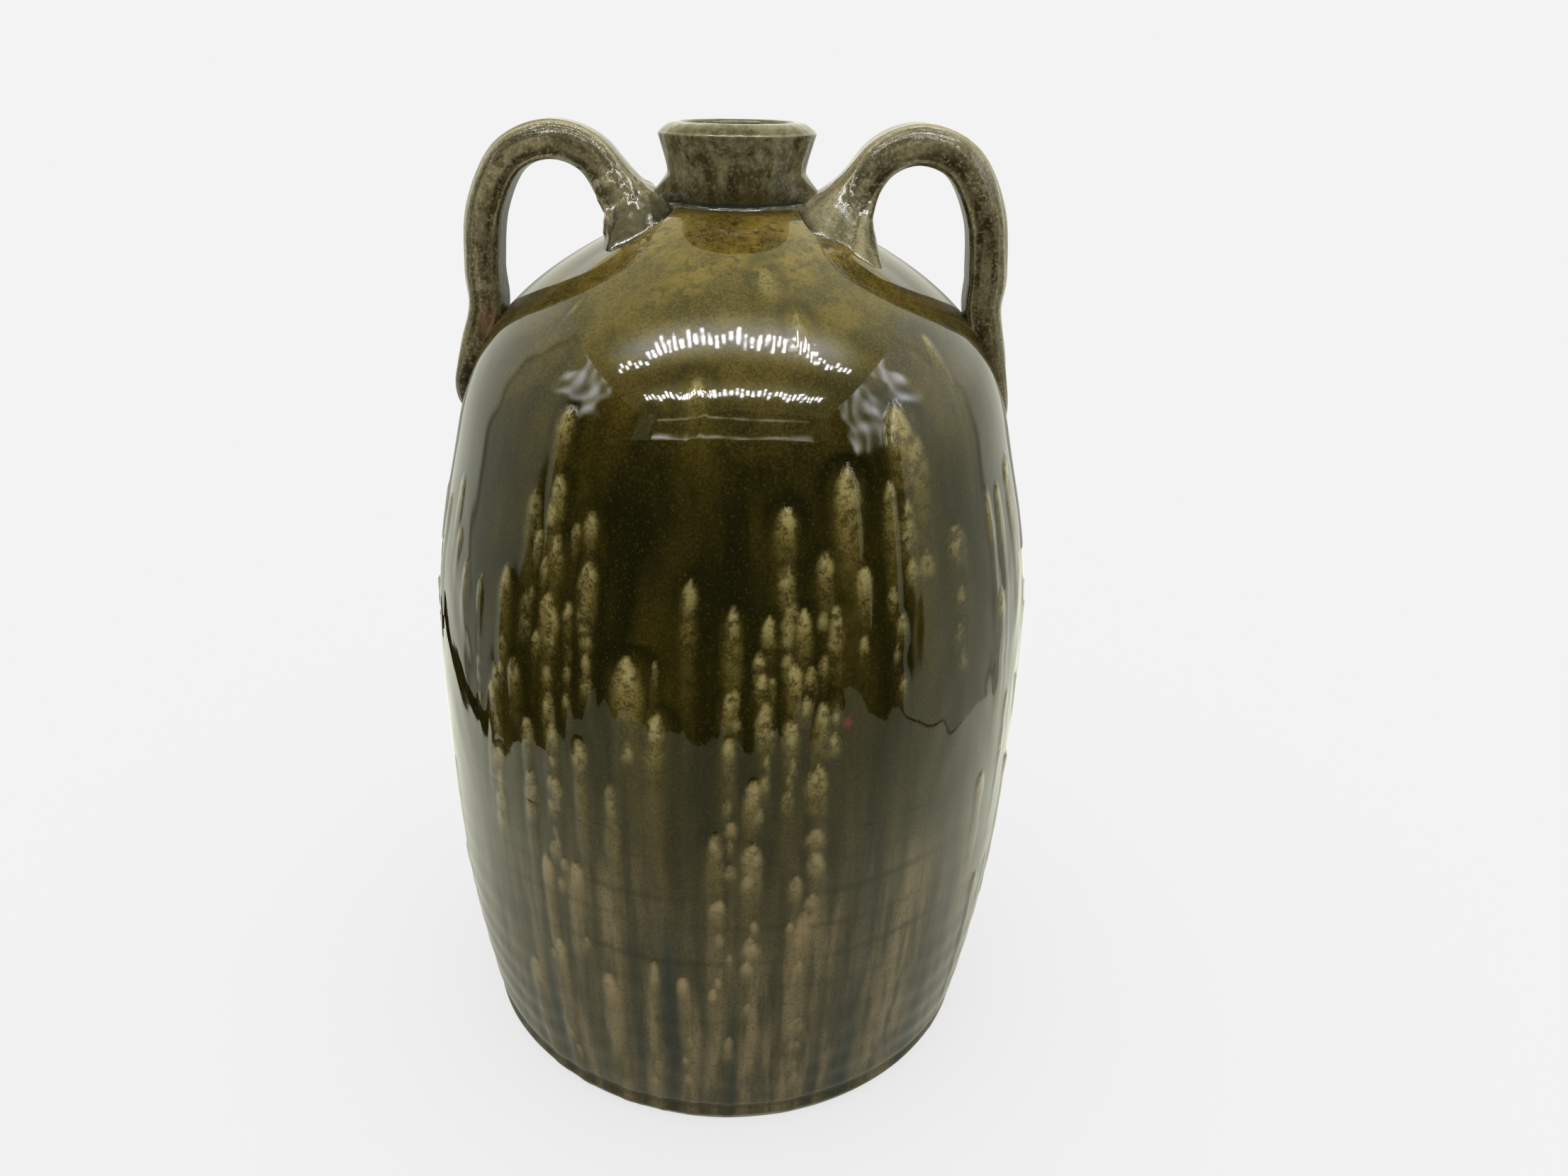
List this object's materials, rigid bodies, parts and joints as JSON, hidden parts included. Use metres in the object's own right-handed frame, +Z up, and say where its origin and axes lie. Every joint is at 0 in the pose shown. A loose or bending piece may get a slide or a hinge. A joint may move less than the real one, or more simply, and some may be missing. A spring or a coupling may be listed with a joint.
{
  "type": "syrup jug",
  "caption": "Stoneware syrup jug with a barrel body, rounded shoulder, short flared neck and a strap handle on each side of the neck.",
  "frame": {"origin": "centre of the round base on the table", "axes": "+Z up through the mouth, X through both handles with the right-hand handle on +X, the pictured side faces -Y"},
  "size_m": [0.2588, 0.2588, 0.4008],
  "materials": {
    "body_glaze": "glossy olive-green ash glaze with tan runs",
    "collar_glaze": "thin glossy taupe-brown glaze with a pale rim edge",
    "handle_glaze": "glossy olive-tan glaze, thin on the ridges"
  },
  "bodies": {
    "root": {"lower_section": "body_glaze", "upper_section": "body_glaze", "neck_collar": "collar_glaze", "left_handle": "handle_glaze", "right_handle": "handle_glaze"}
  },
  "joints": []
}
